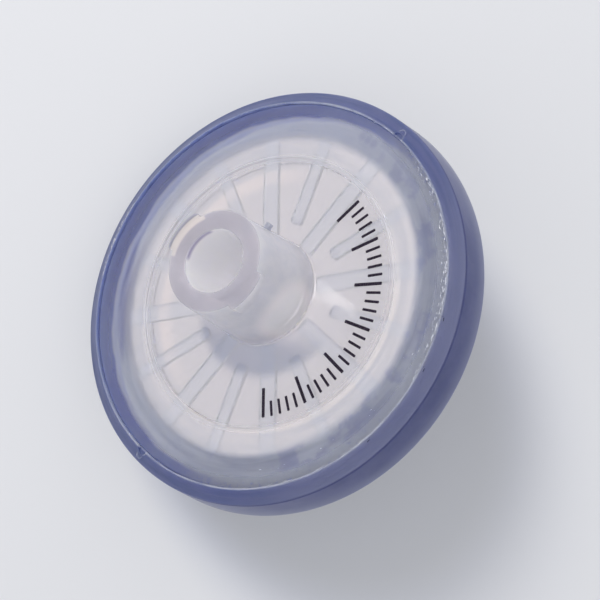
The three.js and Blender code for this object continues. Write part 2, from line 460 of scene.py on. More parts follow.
PLATE = (0.79, 0.77, 0.78, 1)
PLATE_VEIL = (0.86, 0.86, 0.88, 1)
BAND_PALE = (0.64, 0.665, 0.735, 1)
BAND_GREY = (0.40, 0.425, 0.515, 1)
BAND_STREAK = (0.70, 0.72, 0.77, 1)
BAND_PATCH = (0.17, 0.20, 0.45, 1)
BAND_FRINGE = (0.88, 0.89, 0.92, 1)
BEYOND_DARK = (0.125, 0.18, 0.60, 1)
BEYOND_LIGHT = (0.21, 0.28, 0.64, 1)
FROST = (0.46, 0.49, 0.56, 1)
SKIRT_INSIDE = (0.08, 0.12, 0.40, 1)
RIB_WALL_PAINTED_LIGHT = (0.80, 0.90, 1.0, 1)
RIB_END_PAINTED_ARC = (0.34, 0.40, 0.55, 1)
RIB_FACE = (0.62, 0.69, 0.80, 1)
SMUDGE_RADIUS = 12.3
SMUDGE_ANGLES = (83.5, 86, 88.5)


def band_colour(graph, place, radius):
    """The band outside the white: pale at the low side, grey and patchy at the high side."""
    high_side = toward(graph, place, HIGH_SIDE).ramp(-3, 9)
    colour = blend(graph, high_side, BAND_PALE, BAND_GREY)
    drawn = streaks(graph, place, radius, 1.6).ramp(0.42, 0.6)
    colour = blend(graph, drawn * 0.6, colour, BAND_STREAK)
    patches = speckle(graph, place, 0.55).ramp(0.5, 0.62) * high_side
    blotch = toward(graph, place, BLOTCH_SIDE).ramp(10.6, 11.3) * radius.ramp(12.1, 11.7)
    for degrees in SMUDGE_ANGLES:
        smudge = near(graph, place, polar(SMUDGE_RADIUS, degrees, CAP_TOP), 0.5)
        blotch = blotch.maximum(smudge * 0.55)
    return blend(graph, (patches * 0.6).maximum(blotch * 0.8), colour, BAND_PATCH)


def beyond_colour(graph, place, radius):
    """The mottled blue outside the media."""
    mottle = streaks(graph, place, radius, 1.1) * 0.6 + speckle(graph, place, 0.5) * 0.4
    return blend(graph, mottle.ramp(0.4, 0.62), BEYOND_DARK, BEYOND_LIGHT)


def short_rib_ends(graph, place):
    """1 round the inner end of each short rib, where the end wall's reflection through the plate is painted
    as a crisp dark arc.
    """
    ends = None
    for turn in range(RIB_PAIRS):
        centre = polar(SHORT_RIB_START, RIB_PHASE + (turn + 0.5) * RIB_PITCH, CLAMP_LEVEL + 0.15)
        end = near(graph, place, centre, 0.62, 0.7)
        ends = end if ends is None else ends.maximum(end)
    return ends


def rib_walls(radius, level):
    """1 on the walls that stand between the ribs' lower face and the chamber's ceiling."""
    deep_side = radius.ramp(DEEP_RADIUS + 0.02, DEEP_RADIUS - 0.02)
    ceiling = deep_side * (DEEP_CEILING - SHALLOW_CEILING) + SHALLOW_CEILING
    return (ceiling - level).ramp(0.01, 0.03) * level.ramp(CLAMP_LEVEL, CLAMP_LEVEL + 0.03)


def plate_surface(graph, place, radius, level):
    """The two flat plates: clear over the media, blue where the cap shows no media under it. What
    lies deep under the low side's face is seen nearer the axis, so the blue begins further in there."""
    low_side = toward(graph, place, LOW_SIDE)
    colour = blend(graph, radius.ramp(*MEDIA_SHOWN), PLATE, band_colour(graph, place, radius))
    seen_radius = radius + low_side * 0.046 + (speckle(graph, place, 0.45, 1.0) - 0.5) * 0.4
    fringe = seen_radius.ramp(12.2, 12.7) * low_side.ramp(-2, 8)
    colour = blend(graph, fringe * 0.8, colour, BAND_FRINGE)
    colour = blend(graph, seen_radius.ramp(*BEYOND_MEDIA), colour, beyond_colour(graph, place, radius))
    frost = radius.ramp(12.5, 12.95) * toward(graph, place, HIGH_SIDE).ramp(0, 6)
    frost = frost * speckle(graph, place, 3.0, 5.0).ramp(0.2, 0.5)
    colour = blend(graph, frost, colour, FROST)
    inside = radius.ramp(12.9, 13.04) * level.ramp(CAP_RIM_TOP + 0.3, CAP_RIM_TOP + 0.1)
    colour = blend(graph, inside, colour, SKIRT_INSIDE)
    rib_wall = rib_walls(radius, level)
    # Painted light: the rib walls painted pale blue, as they would otherwise show dark through the plate.
    colour = blend(graph, rib_wall, colour, RIB_WALL_PAINTED_LIGHT)
    # Painted reflection: a crisp dark arc at each short rib's inner end.
    colour = blend(graph, rib_wall * short_rib_ends(graph, place), colour, RIB_END_PAINTED_ARC)
    rib_face = level.ramp(CLAMP_LEVEL + 0.03, CLAMP_LEVEL)
    rib_face = rib_face * radius.ramp(CHAMBER_RADIUS, CHAMBER_RADIUS - 0.1)
    colour = blend(graph, rib_face * 0.45, colour, RIB_FACE)
    grain = speckle(graph, place, 1.3, 2.0) * 0.3 + frost * speckle(graph, place, 14.0) * 3
    steps = radius.ramp(DEEP_RADIUS - 0.15, DEEP_RADIUS)
    steps = steps * radius.ramp(RECESS_RADIUS + 0.2, RECESS_RADIUS + 0.05)
    haze = radius.ramp(9.0, 11.0) * 0.16 + 0.08 + rib_wall * 0.45 + steps * 0.25
    haze = haze + radius.ramp(12.6, 13.3) * 0.3
    values = {"Transmission Weight": 0.8, "Roughness": haze, "Subsurface Scale": 0.0012}
    return milky_plastic(graph, colour, grain, PLATE_VEIL, **values)


# The hub and its socket

HUB_DARK = (0.69, 0.695, 0.74, 1)
HUB_LIGHT = (0.73, 0.72, 0.755, 1)
HUB_RIM = (0.45, 0.43, 0.48, 1)
HUB_PAINTED_GLOW = (1.0, 0.92, 0.92, 1)
HUB_VEIL = (0.98, 0.965, 0.98, 1)
PAINTED_GLOW_CENTRE = (3.6, -0.5, 4.1)
PIP_PAINTED_SHADE = (0.36, 0.38, 0.46, 1)
LUG_PAINTED_LIGHT = (0.72, 0.66, 0.64, 1)
LUG_PAINTED_EDGE_SHADE = (0.22, 0.22, 0.29, 1)
SOCKET_COLOUR = (1.0, 0.94, 0.955, 1)
SOCKET_PAINTED_SHADE = (0.42, 0.40, 0.53, 1)
SOCKET_VEIL = (0.99, 0.97, 0.97, 1)


def hub_surface(graph, place, radius, level):
    """The hub and the spout, thick and milky."""
    swirl = speckle(graph, place, 1.3, 2.0)
    colour = blend(graph, swirl.ramp(0.35, 0.65), HUB_DARK, HUB_LIGHT)
    colour = blend(graph, level.ramp(HUB_MOUTH - 0.07, HUB_MOUTH - 0.03), colour, HUB_RIM)
    # Painted light: a warm glow low on the flank, where light shines through the hub.
    colour = blend(graph, near(graph, place, PAINTED_GLOW_CENTRE, 2.8, 0.5), colour, HUB_PAINTED_GLOW)
    # Painted shade: the pip's dark side and the shadow round it.
    pip_side = near(graph, place, polar(HUB_MOUTH_RADIUS + 0.35, PIP_ANGLE, PIP_LEVEL), 0.5, 0.8)
    colour = blend(graph, pip_side, colour, PIP_PAINTED_SHADE)
    # Painted light on one lug: a cream band where light passes through it.
    lug_side = near(graph, place, polar(HUB_MOUTH_RADIUS, LUG_ANGLES[1], HUB_MOUTH), 1.85, 0.9)
    colour = blend(graph, lug_side * radius.ramp(2.98, 3.2), colour, LUG_PAINTED_LIGHT)
    # Painted shade: a dark outline along that lug's outer top edge.
    lug_edge = radius.ramp(3.57, 3.72) * level.ramp(HUB_MOUTH - 0.45, HUB_MOUTH - 0.15)
    colour = blend(graph, lug_side * lug_edge, colour, LUG_PAINTED_EDGE_SHADE)
    values = {"Transmission Weight": 0.45, "Roughness": 0.16, "Subsurface Scale": 0.0025}
    return milky_plastic(graph, colour, swirl * 2, HUB_VEIL, **values)


def socket_surface(graph, place, level):
    """The polished wall of the Luer socket, clearer than the hub's outside."""
    # Painted shade: a dark crescent just inside the mouth, on the wall that lies in shadow.
    shade_crescent = near(graph, place, polar(SOCKET_MOUTH_RADIUS, SOCKET_SHADE_ANGLE, HUB_MOUTH), 1.5, 0.7)
    shade_crescent = shade_crescent * level.ramp(HUB_MOUTH - 0.5, HUB_MOUTH - 0.2)
    colour = blend(graph, shade_crescent, SOCKET_COLOUR, SOCKET_PAINTED_SHADE)
    grain = speckle(graph, place, 1.3, 2.0)
    values = {"Transmission Weight": 0.25, "Roughness": 0.2, "Subsurface Scale": 0.001}
    return milky_plastic(graph, colour, grain, SOCKET_VEIL, **values)


def housing_surface(graph):
    """Both halves of the housing: the plates, and the hub and the spout that stand on them."""
    place = flow_position(graph)
    radius = radius_at(graph, place)
    level = part_of(graph, place, "Z")
    hub_side = level.ramp(CAP_FACE + 0.02, CAP_FACE + 0.3)
    spout_side = level.ramp(BASE_FACE - 0.1, BASE_FACE - 0.9)
    plate = plate_surface(graph, place, radius, level)
    hub = hub_surface(graph, place, radius, level)
    socket = socket_surface(graph, place, level)
    socket_side = radius.ramp(2.25, 2.15) * level.ramp(HUB_MOUTH - 0.02, HUB_MOUTH - 0.12) * hub_side
    hub = graph.node("ShaderNodeMixShader", inputs=(socket_side, hub, socket))
    return graph.node("ShaderNodeMixShader", inputs=(hub_side.maximum(spout_side), plate, hub))


# The ring

RING_TOP_DARK = (0.105, 0.135, 0.29, 1)
RING_TOP_LIGHT = (0.15, 0.17, 0.335, 1)
RING_TOP_PAINTED_SHADE = (0.045, 0.07, 0.21, 1)
RING_TOP_PAINTED_LIGHT = (0.24, 0.255, 0.38, 1)
RING_WALL_DARK = (0.10, 0.12, 0.29, 1)
RING_WALL_LIGHT = (0.135, 0.155, 0.33, 1)
RING_WALL_FOOT = (0.23, 0.25, 0.40, 1)
PARTING_PAINTED_SHADE = (0.075, 0.085, 0.225, 1)
LIP_FLASH_AND_HIGHLIGHT = (0.55, 0.59, 0.72, 1)
LIP_PAINTED_SHADE = (0.20, 0.245, 0.48, 1)
RING_VEIL = (0.72, 0.74, 0.82, 1)


def ring_surface(graph):
    """The ring: a clouded top and wall on either side of the parting line, and a torn inner lip, with light
    and shade painted on the top, in the parting groove and along the lip.
    """
    place = flow_position(graph)
    radius = radius_at(graph, place)
    level = part_of(graph, place, "Z")
    low_side = toward(graph, place, LOW_SIDE).ramp(2, 12)
    high_side = toward(graph, place, HIGH_SIDE).ramp(5, 13)
    top_cloud = streaks(graph, place, radius, 4.0) * 0.6 + speckle(graph, place, 0.45) * 0.4
    top_cloud = top_cloud.ramp(0.35, 0.65)
    top_colour = blend(graph, top_cloud, RING_TOP_DARK, RING_TOP_LIGHT)
    # Painted shade on the top's outer part at the low side, and painted light on the top at the high side.
    top_colour = blend(graph, low_side * radius.ramp(13.8, 14.4), top_colour, RING_TOP_PAINTED_SHADE)
    top_colour = blend(graph, high_side * 0.7, top_colour, RING_TOP_PAINTED_LIGHT)
    wall_cloud = speckle(graph, place, 0.45) * 0.8 + speckle(graph, place, 3.0) * 0.2
    wall_colour = blend(graph, wall_cloud.ramp(0.35, 0.65), RING_WALL_DARK, RING_WALL_LIGHT)
    wall_colour = blend(graph, level.ramp(0.9, -0.5), wall_colour, RING_WALL_FOOT)
    colour = blend(graph, level.ramp(PARTING + 0.1, PARTING - 0.1), top_colour, wall_colour)
    # Painted shade: a dark band along the parting groove.
    off_parting = level.math("ABSOLUTE", level - PARTING)
    colour = blend(graph, off_parting.ramp(0.15, 0.03), colour, PARTING_PAINTED_SHADE)
    # The pale torn flash along the lip, partly a painted highlight along the inner edge.
    lip = radius.ramp(RING_BORE_RADIUS + 0.16, RING_BORE_RADIUS + 0.06) * level.ramp(CAP_TOP - 0.1, CAP_TOP)
    torn = lip * (speckle(graph, place, 0.6, 4.0).ramp(0.38, 0.6) * 0.5 + 0.3)
    colour = blend(graph, torn, colour, LIP_FLASH_AND_HIGHLIGHT)
    # Painted shade: the lip darker on the low side.
    colour = blend(graph, lip * low_side, colour, LIP_PAINTED_SHADE)
    grain = top_cloud * 1.5 + lip * speckle(graph, place, 9.0) * 8
    values = {"Transmission Weight": 0.4, "Roughness": 0.3, "Subsurface Scale": 0.0015}
    values["Specular IOR Level"] = 0.25
    return milky_plastic(graph, colour, grain, RING_VEIL, **values)


# The media

WHITE = (0.76, 0.75, 0.77, 1)
WHITE_BAND = (0.60, 0.62, 0.68, 1)
PAINTED_HIGHLIGHT_LINE = (0.98, 0.92, 0.86, 1)
PAINTED_GLOW_COLOUR = (0.98, 0.90, 0.86, 1)
HUB_SHADE = (0.21, 0.265, 0.40, 1)
PRESSED_DARK = (0.068, 0.105, 0.215, 1)
PRESSED_LIGHT = (0.20, 0.23, 0.36, 1)
PRESSED_BLOTCH = (0.03, 0.04, 0.20, 1)
PRESSED_STREAK = (0.30, 0.33, 0.43, 1)


def pressed_colour(graph, place, radius, drawn):
    """The rim of the media, pressed flat by the clamp and seen blue through the thick of the cap."""
    cloud = speckle(graph, place, 0.35) - 0.5
    bright_side = (toward(graph, place, BRIGHT_SIDE) + cloud * 12).ramp(0, 9)
    colour = blend(graph, bright_side, PRESSED_DARK, PRESSED_LIGHT)
    blotch = toward(graph, place, BLOTCH_SIDE).ramp(11.2, 12.1) * radius.ramp(12.5, 12.2)
    colour = blend(graph, blotch, colour, PRESSED_BLOTCH)
    return blend(graph, drawn.ramp(0.45, 0.62) * 0.55, colour, PRESSED_STREAK)


def white_colour(graph, place, radius, drawn):
    """The open face of the media: greyer bands outside, a painted highlight line, a painted glow of light,
    and the hub's painted shadow.
    """
    bands = radius.ramp(9.0, 9.8) * drawn.ramp(0.62, 0.4)
    colour = blend(graph, bands, WHITE, WHITE_BAND)
    # Painted highlight: a warm line just inside the recess step, on one side only.
    painted_highlight_line = radius.ramp(9.3, 9.45) * radius.ramp(9.8, 9.6) * toward(graph, place, HIGHLIGHT_SIDE).ramp(0, 6)
    colour = blend(graph, painted_highlight_line, colour, PAINTED_HIGHLIGHT_LINE)
    # Painted light: a warm glowing arc on the low side of the open face.
    painted_glow = radius.ramp(7.7, 8.5) * radius.ramp(9.2, 8.9) * toward(graph, place, LOW_SIDE).ramp(1, 6)
    colour = blend(graph, painted_glow, colour, PAINTED_GLOW_COLOUR)
    hub_shade = radius.ramp(6.2, 5.2) * toward(graph, place, SHADE_SIDE).ramp(1.2, 4.0)
    return blend(graph, hub_shade, colour, HUB_SHADE)


def media_surface(graph):
    """The matt, felted media, white in the open and blue where the clamp presses it."""
    place = flow_position(graph)
    nap_height = speckle(graph, place, 9.0, 6.0)
    nap = graph.node("ShaderNodeBump", inputs={"Strength": 0.3, "Distance": 0.0001, "Height": nap_height})
    radius = radius_at(graph, place)
    drawn = streaks(graph, place, radius, 2.2)
    ragged = (speckle(graph, place, 1.1) - 0.5) * 0.4 + toward(graph, place, HIGH_SIDE).ramp(2, 9) * 0.18
    pressed = (radius + ragged).ramp(WHITE_EDGE - 0.35, WHITE_EDGE + 0.35)
    white = white_colour(graph, place, radius, drawn)
    colour = blend(graph, pressed, white, pressed_colour(graph, place, radius, drawn))
    inputs = {"Base Color": colour, "Roughness": 0.9, "Specular IOR Level": 0.2, "Normal": nap}
    return graph.node("ShaderNodeBsdfPrincipled", inputs=inputs)


# Marks and floor

FLASH_AND_GLINT_COLOURS = ((0.50, 0.53, 0.62, 1), (0.80, 0.81, 0.86, 1))
NICK_SHADE_COLOURS = ((0.02, 0.022, 0.045, 1), (0.06, 0.065, 0.12, 1))
INK_COLOURS = ((0.010, 0.007, 0.014, 1), (0.035, 0.026, 0.045, 1))
FLOOR_COLOUR = (0.72, 0.73, 0.76, 1)


def flash_and_glint_surface(graph):
    """Torn flash that also serves as painted glints: pale specks where it would catch the light."""
    colour = blend(graph, speckle(graph, flow_position(graph), 20.0), *FLASH_AND_GLINT_COLOURS)
    return graph.node("ShaderNodeBsdfPrincipled", inputs={"Base Color": colour, "Roughness": 0.12})


def nick_shade_surface(graph):
    """Painted shade: the dark seen in a nick's inside."""
    colour = blend(graph, speckle(graph, flow_position(graph), 20.0), *NICK_SHADE_COLOURS)
    return graph.node("ShaderNodeBsdfPrincipled", inputs={"Base Color": colour, "Roughness": 0.7})


def ink_surface(graph):
    """Black ink, a little thin in places."""
    grain = speckle(graph, flow_position(graph), 14.0, 2.0)
    colour = blend(graph, grain.ramp(0.35, 0.7), *INK_COLOURS)
    inputs = {"Base Color": colour, "Roughness": 0.6, "Specular IOR Level": 0.1}
    return graph.node("ShaderNodeBsdfPrincipled", inputs=inputs)


def floor_surface(graph):
    inputs = {"Base Color": FLOOR_COLOUR, "Roughness": 0.8}
    return graph.node("ShaderNodeBsdfPrincipled", inputs=inputs)


# Geometry Nodes

BAR_NUMBERS = ("Pitch", "Phase", "Width", "Corner", "Start", "End", "Low", "High")
SPECK_NUMBERS = ("From", "Sweep", "Radius", "Spread", "Level", "Size")
CORNER_STEPS = 8
JOIN_REACH = 1e-4
SPECK_SIZES = (0.05, 1.0)  # against the largest
SPECK_WIDTH = 0.4  # of a speck, against its size
SPECK_LENGTHS = (0.8, 4.0)
SPECK_TILT = 0.3


def new_tree(name, counts, numbers):
    """A tree that makes a mesh from a mesh, a material, counts and numbers: its graph and its inputs."""
    tree = bpy.data.node_groups.new(name, "GeometryNodeTree")
    inputs = [("Mesh", "Geometry"), ("Material", "Material")]
    inputs += [(count, "Int") for count in counts] + [(number, "Float") for number in numbers]
    for label, kind in inputs:
        tree.interface.new_socket(label, in_out="INPUT", socket_type=f"NodeSocket{kind}")
    tree.interface.new_socket("Mesh", in_out="OUTPUT", socket_type="NodeSocketGeometry")
    graph = Graph(tree)
    entry = tree.nodes.new("NodeGroupInput")
    return graph, {socket.name: Socket(graph, socket) for socket in entry.outputs if socket.name}


def finish_tree(graph, given, result):
    """Ends the tree: its copies made real, all of them in the given material."""
    result = graph.node("GeometryNodeRealizeInstances", inputs={"Geometry": result})
    result = graph.node("GeometryNodeSetMaterial", inputs={"Geometry": result, "Material": given["Material"]})
    graph.node("NodeGroupOutput", inputs={"Mesh": result})
    return graph.tree


def bars_round_the_axis(graph, given):
    """Straight bars, each from Start to End out from the flow axis, Pitch degrees apart, their
    corners rounded to a radius of Corner."""
    length = given["End"] - given["Start"]
    size = {"Width": length, "Height": given["Width"]}
    outline = graph.node("GeometryNodeCurvePrimitiveQuadrilateral", {"mode": "RECTANGLE"}, size)
    corners = {"Curve": outline, "Count": CORNER_STEPS, "Radius": given["Corner"]}
    outline = graph.node("GeometryNodeFilletCurve", {"mode": "POLY"}, corners)
    face = graph.node("GeometryNodeFillCurve", {"mode": "NGONS"}, {"Curve": outline})
    rise = {"Mesh": face, "Offset Scale": given["High"] - given["Low"], "Individual": False}
    walls = graph.node("GeometryNodeExtrudeMesh", {"mode": "FACES"}, rise)
    under = graph.node("GeometryNodeFlipFaces", inputs={"Mesh": face})
    bar = graph.node("GeometryNodeJoinGeometry", inputs={"Geometry": [under, walls]})
    bar = graph.node("GeometryNodeMergeByDistance", inputs={"Geometry": bar, "Distance": JOIN_REACH})
    middle = {"X": (given["Start"] + given["End"]) * 0.5, "Z": given["Low"]}
    offset = graph.node("ShaderNodeCombineXYZ", inputs=middle)
    bar = graph.node("GeometryNodeTransform", inputs={"Geometry": bar, "Translation": offset})
    places = graph.node("GeometryNodePoints", inputs={"Count": given["Count"]})
    step = graph.node("GeometryNodeInputIndex") * given["Pitch"] + given["Phase"]
    turn = graph.node("ShaderNodeCombineXYZ", inputs={"Z": step.math("RADIANS", step)})
    instances = {"Points": places, "Instance": bar, "Rotation": turn}
    copies = graph.node("GeometryNodeInstanceOnPoints", inputs=instances)
    return graph.node("GeometryNodeRealizeInstances", inputs={"Geometry": copies})


def bars_tree(name, operation):
    """A tree that adds bars to the mesh that it is given: joined in by UNION, cut out by DIFFERENCE,
    or, with no operation, laid beside it."""
    graph, given = new_tree(name, ["Count"], BAR_NUMBERS)
    bars = bars_round_the_axis(graph, given)
    settings = {"operation": operation, "solver": "EXACT"}
    if operation == "UNION":
        inputs = {"Mesh 2": [given["Mesh"], bars]}
        result = graph.node("GeometryNodeMeshBoolean", settings, inputs)
    elif operation == "DIFFERENCE":
        inputs = {"Mesh 1": given["Mesh"], "Mesh 2": bars}
        result = graph.node("GeometryNodeMeshBoolean", settings, inputs)
    else:
        result = graph.node("GeometryNodeJoinGeometry", inputs={"Geometry": [given["Mesh"], bars]})
    return finish_tree(graph, given, result)


def specks_tree(name):
    """A tree of tiny specks strewn along an arc, From one angle over a Sweep of degrees."""
    graph, given = new_tree(name, ["Count", "Seed"], SPECK_NUMBERS)

    def chance(low, high, turn):
        inputs = {2: low, 3: high, "Seed": given["Seed"] + turn}
        return graph.node("FunctionNodeRandomValue", {"data_type": "FLOAT"}, inputs, output=1)

    angle = given["From"] + given["Sweep"] * chance(0.0, 1.0, 0)
    angle = angle.math("RADIANS", angle)
    radius = given["Radius"] + given["Spread"] * (chance(-0.5, 0.5, 1) + chance(-0.5, 0.5, 2))
    east, north = radius * angle.math("COSINE", angle), radius * angle.math("SINE", angle)
    place = graph.node("ShaderNodeCombineXYZ", inputs=(east, north, given["Level"]))
    points = graph.node("GeometryNodePoints", inputs={"Count": given["Count"], "Position": place})
    speck = graph.node("GeometryNodeMeshIcoSphere", inputs={"Radius": given["Size"], "Subdivisions": 1})
    size = chance(*SPECK_SIZES, 3)
    tilt = (chance(-SPECK_TILT, SPECK_TILT, 4), chance(-SPECK_TILT, SPECK_TILT, 5))
    spin = graph.node("ShaderNodeCombineXYZ", inputs=(*tilt, angle))
    width = size * SPECK_WIDTH
    stretch = graph.node("ShaderNodeCombineXYZ", inputs=(width, size * chance(*SPECK_LENGTHS, 6), width))
    inputs = {"Points": points, "Instance": speck, "Rotation": spin, "Scale": stretch}
    strewn = graph.node("GeometryNodeInstanceOnPoints", inputs=inputs)
    result = graph.node("GeometryNodeJoinGeometry", inputs={"Geometry": [given["Mesh"], strewn]})
    return finish_tree(graph, given, result)


def add_tree(piece, tree, **values):
    """Runs a Geometry Nodes tree on the piece with these inputs."""
    step = piece.modifiers.new(tree.name, "NODES")
    step.node_group = tree
    for item in tree.interface.items_tree:
        if item.in_out == "INPUT" and item.name in values:
            step[item.identifier] = values[item.name]


# Pieces


def lug(degrees):
    """One lug of the hub's lock: a short stretch of thread, flush with the mouth."""
    rooted = (HUB_MOUTH_RADIUS + SOCKET_MOUTH_RADIUS) / 2
    outline = []
    for i in range(LUG_STEPS + 1):
        share = 2 * i / LUG_STEPS - 1
        past = max(0, abs(share) - (1 - LUG_ROUNDED)) / LUG_ROUNDED
        radius = HUB_MOUTH_RADIUS - LUG_SINK + LUG_RISE * math.sqrt(max(0, 1 - past**2))
        outline.append(polar(radius, share * LUG_HALF_SPAN, 0))
    for i in range(LUG_STEPS + 1):
        share = 1 - 2 * i / LUG_STEPS
        outline.append(polar(rooted, share * LUG_HALF_SPAN, 0))
    piece = raised("lug", outline, HUB_MOUTH - LUG_THICKNESS, LUG_TOP)
    for vertex in piece.data.vertices:
        if vertex.co.z < HUB_MOUTH - LUG_THICKNESS / 2:
            vertex.co.z += LUG_LEAD * math.atan2(vertex.co.y, vertex.co.x) / (2 * math.pi)
    return spun(piece, degrees)


def pip():
    """The small pip that the mould leaves on the hub."""
    bm = bmesh.new()
    bmesh.ops.create_cube(bm, size=1)
    share = (PIP_LEVEL - CAP_FACE) / (HUB_MOUTH - CAP_FACE)
    radius = HUB_ROOT_RADIUS + (HUB_MOUTH_RADIUS - HUB_ROOT_RADIUS) * share
    bmesh.ops.scale(bm, verts=bm.verts, vec=(PIP_SIZE * 2, PIP_SIZE, PIP_SIZE))
    bmesh.ops.bevel(bm, geom=bm.edges[:], offset=PIP_ROUNDING, segments=3, affect="EDGES", profile=0.5)
    bmesh.ops.translate(bm, verts=bm.verts, vec=(radius, 0, PIP_LEVEL))
    return spun(new_object("pip", bm), PIP_ANGLE)


def seam(degrees):
    """The fine ridge up the hub's side where its mould parted."""
    low, high = SEAM_LEVELS
    bm = bmesh.new()
    for y in (-SEAM_HALF_WIDTH, SEAM_HALF_WIDTH):
        for x, z in (
            (HUB_MOUTH_RADIUS - SEAM_DEPTH, low),
            (HUB_ROOT_RADIUS + SEAM_PROUD, low),
            (HUB_MOUTH_RADIUS + SEAM_PROUD, high),
            (HUB_MOUTH_RADIUS - SEAM_DEPTH, high),
        ):
            bm.verts.new((x, y, z))
    bmesh.ops.convex_hull(bm, input=bm.verts)
    return spun(new_object("seam", bm), degrees)


def make_inlet_cap(plastic):
    """The cap: its section from the inlet port out under the plate, back over it, up the hub and down
    the socket, with the lock's lugs and the ribs joined in."""
    socket_end_radius = SOCKET_MOUTH_RADIUS - LUER_TAPER * (HUB_MOUTH - SOCKET_FLOOR)
    corners = [
        (INLET_PORT_RADIUS, DEEP_CEILING, 0.12),
        (DEEP_RADIUS, DEEP_CEILING, 0.1),
        (DEEP_RADIUS, SHALLOW_CEILING, 0.1),
        (CHAMBER_RADIUS, SHALLOW_CEILING, 0.08),
        (CHAMBER_RADIUS, CLAMP_LEVEL, 0.06),
        (SKIRT_INNER_RADIUS, CLAMP_LEVEL),
        (SKIRT_INNER_RADIUS, LAND + HAIR),
        (RIM_RADIUS - HAIR, LAND + HAIR),
        (RIM_RADIUS - HAIR, CAP_RIM_TOP - HAIR),
        (PLATE_RADIUS, CAP_RIM_TOP - HAIR),
        (PLATE_RADIUS, CAP_TOP, 0.08),
        (RECESS_RADIUS, CAP_TOP, 0.06),
        (RECESS_RADIUS - RECESS_SLOPE, CAP_FACE, 0.06),
        (HUB_ROOT_RADIUS, CAP_FACE, HUB_FILLET),
        (HUB_MOUTH_RADIUS, HUB_MOUTH, 0.07),
        (SOCKET_MOUTH_RADIUS, HUB_MOUTH, 0.1),
        (socket_end_radius, SOCKET_FLOOR, 0.15),
        (INLET_PORT_RADIUS, SOCKET_FLOOR, 0.08),
    ]
    piece = turned("cap", corners)
    lugs = [lug(angle) for angle in LUG_ANGLES]
    seams = [seam(angle) for angle in SEAM_ANGLES]
    combined(piece, [*lugs, *seams, pip()], "UNION")
    ribs = bars_tree("ribs_round_the_axis", "UNION")
    common = {"Count": RIB_PAIRS, "Pitch": RIB_PITCH, "Corner": RIB_CORNER, "Material": plastic}
    common |= {"Low": RIB_LEVELS[0], "High": RIB_LEVELS[1]}
    for width, start, phase in (
        (LONG_RIB_WIDTH, LONG_RIB_START, RIB_PHASE),
        (SHORT_RIB_WIDTH, SHORT_RIB_START, RIB_PHASE + RIB_PITCH / 2),
    ):
        end = CHAMBER_RADIUS + width
        add_tree(piece, ribs, Width=width, Start=start, End=end, Phase=phase, **common)
    apply_modifiers(piece)
    finish_piece(piece, plastic, "inlet_cap")


def disc(name, faces, radius):
    """A flat disc with softly rounded edges, its section from the axis outwards."""
    low, high = faces
    bm = bmesh.new()
    sizes = {"radius1": radius, "radius2": radius, "depth": high - low}
    bmesh.ops.create_cone(bm, cap_ends=True, segments=TURN_STEPS, **sizes)
    bmesh.ops.translate(bm, verts=bm.verts, vec=(0, 0, (low + high) / 2))
    level_edges = [e for e in bm.edges if abs(e.verts[0].co.z - e.verts[1].co.z) < 1e-6]
    rims = [e for e in level_edges if e.calc_length() < radius * 0.1]
    bmesh.ops.bevel(bm, geom=rims, offset=MEDIA_ROUNDING, segments=3, affect="EDGES", profile=0.5)
    return new_object(name, bm)


def make_media(white):
    """The two white discs held between the base's land and the cap's clamp."""
    prefilter = disc("prefilter", PREFILTER, MEDIA_RADIUS)
    finish_piece(prefilter, white, "glass_fibre_prefilter")
    membrane = disc("membrane", MEMBRANE, MEDIA_RADIUS)
    finish_piece(membrane, white, "filter_membrane")


def ridge(start):
    """A ridge round the base that holds the membrane off the channels' floor."""
    end = start + RIDGE_WIDTH
    corners = [(start, RIDGE_FOOT), (end, RIDGE_FOOT), (end, LAND, 0.08), (start, LAND, 0.08)]
    return turned("ridge", corners)


def make_outlet_base(plastic):
    """The base: its section from the bore down and round the spout, out under the plate and back over
    the channels' floor, with the ridges, cut through by the drains, joined in."""
    spout_root_radius = SPOUT_TIP_RADIUS + LUER_TAPER * (BOSS_FACE - SPOUT_TIP)
    corners = [
        (OUTLET_BORE_RADIUS, SPOUT_TIP, 0.1),
        (SPOUT_TIP_RADIUS, SPOUT_TIP, 0.12),
        (spout_root_radius, BOSS_FACE, 0.3),
        (SPOUT_BOSS_RADIUS, BOSS_FACE, 0.25),
        (SPOUT_BOSS_RADIUS, BASE_FACE, 0.4),
        (PLATE_RADIUS, BASE_FACE, 0.08),
        (PLATE_RADIUS, BASE_RIM_BOTTOM + HAIR),
        (RIM_RADIUS - HAIR, BASE_RIM_BOTTOM + HAIR),
        (RIM_RADIUS - HAIR, LAND),
        (CHAMBER_RADIUS, LAND, 0.06),
        (CHAMBER_RADIUS, CHANNEL_FLOOR, 0.06),
        (OUTLET_BORE_RADIUS, CHANNEL_FLOOR, 0.1),
    ]
    starts = [OUTLET_BORE_RADIUS + RIDGE_PITCH * (i + 1) for i in range(RIDGE_COUNT)]
    ridges = ridge(starts[0])
    for start in starts[1:]:
        combined(ridges, [ridge(start)], "UNION")
    drains = bars_tree("drains_round_the_axis", "DIFFERENCE")
    sizes = {"Width": DRAIN_WIDTH, "Corner": DRAIN_CORNER, "Start": 0, "End": CHAMBER_RADIUS}
    sizes |= {"Low": DRAIN_LEVELS[0], "High": DRAIN_LEVELS[1], "Material": plastic}
    add_tree(ridges, drains, Count=DRAIN_COUNT, Pitch=360 / DRAIN_COUNT, Phase=0, **sizes)
    apply_modifiers(ridges)
    piece = combined(turned("base", corners), [ridges], "UNION")
    finish_piece(piece, plastic, "outlet_base")


